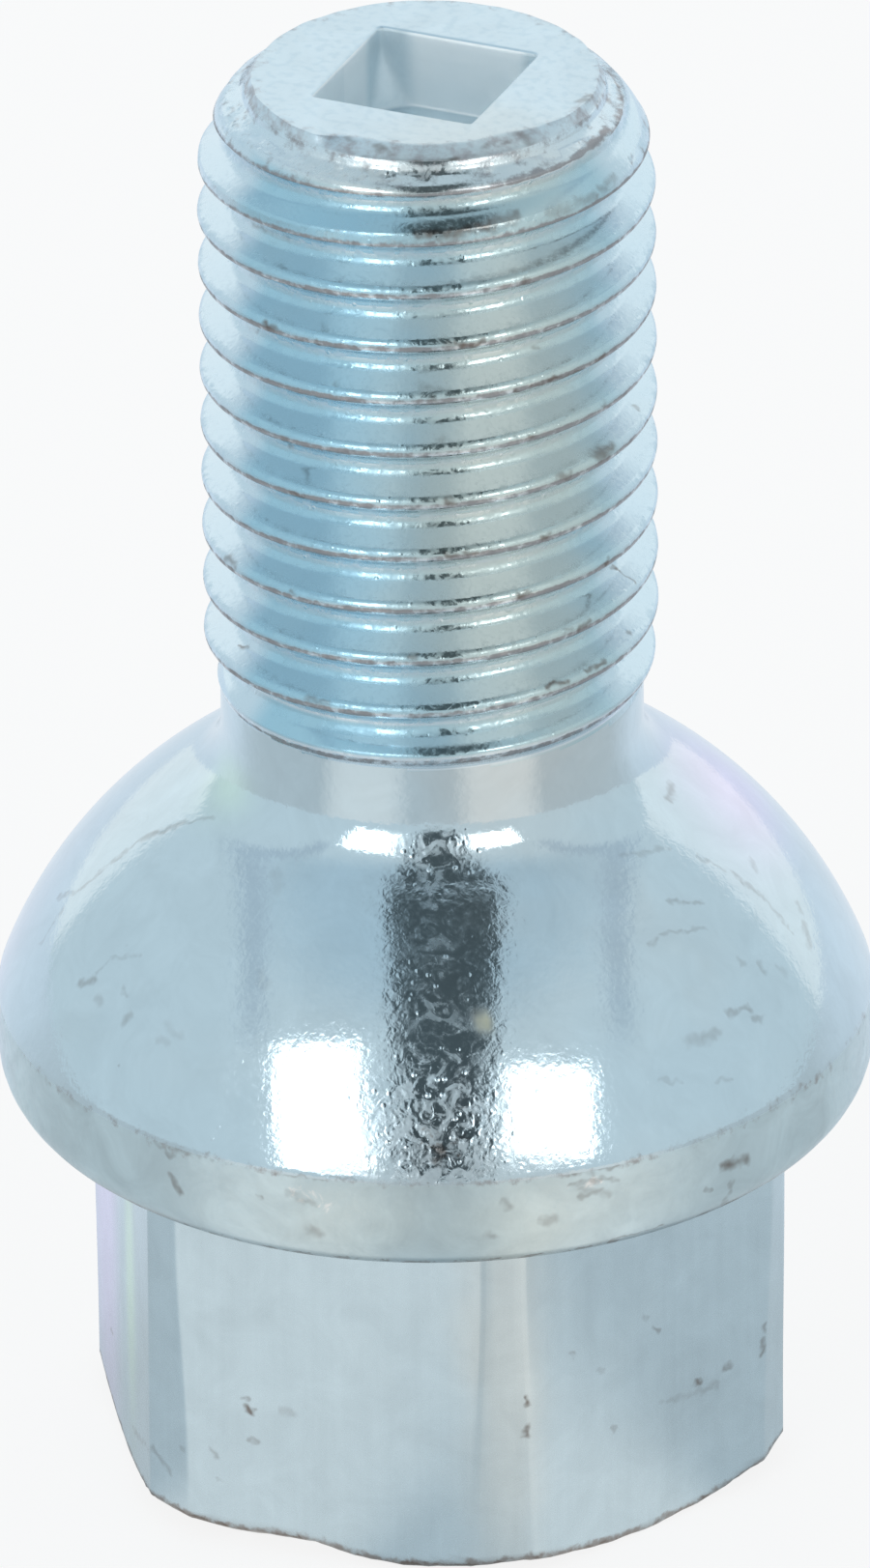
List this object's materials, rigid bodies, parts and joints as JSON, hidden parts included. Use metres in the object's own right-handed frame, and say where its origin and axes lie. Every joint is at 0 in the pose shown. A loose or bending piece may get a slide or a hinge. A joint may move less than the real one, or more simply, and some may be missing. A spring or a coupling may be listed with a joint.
{
  "type": "wheel bolt",
  "caption": "Wheel bolt with a hex head, a rounded ball seat collar, a plain neck and a fine right-hand thread that ends in a chamfered tip with a square recess.",
  "frame": {"origin": "middle of the hex head's end face, on which the bolt stands", "axes": "+Z along the bolt's axis, from the head to the threaded tip; -Y is the outward normal of one flat of the hex"},
  "size_m": [0.023, 0.023, 0.0392],
  "materials": {
    "zinc_plated_steel": "bright bluish zinc plating, satin, with scuffed edges and scratches"
  },
  "bodies": {
    "root": {"wheel_bolt": "zinc_plated_steel"}
  },
  "joints": []
}
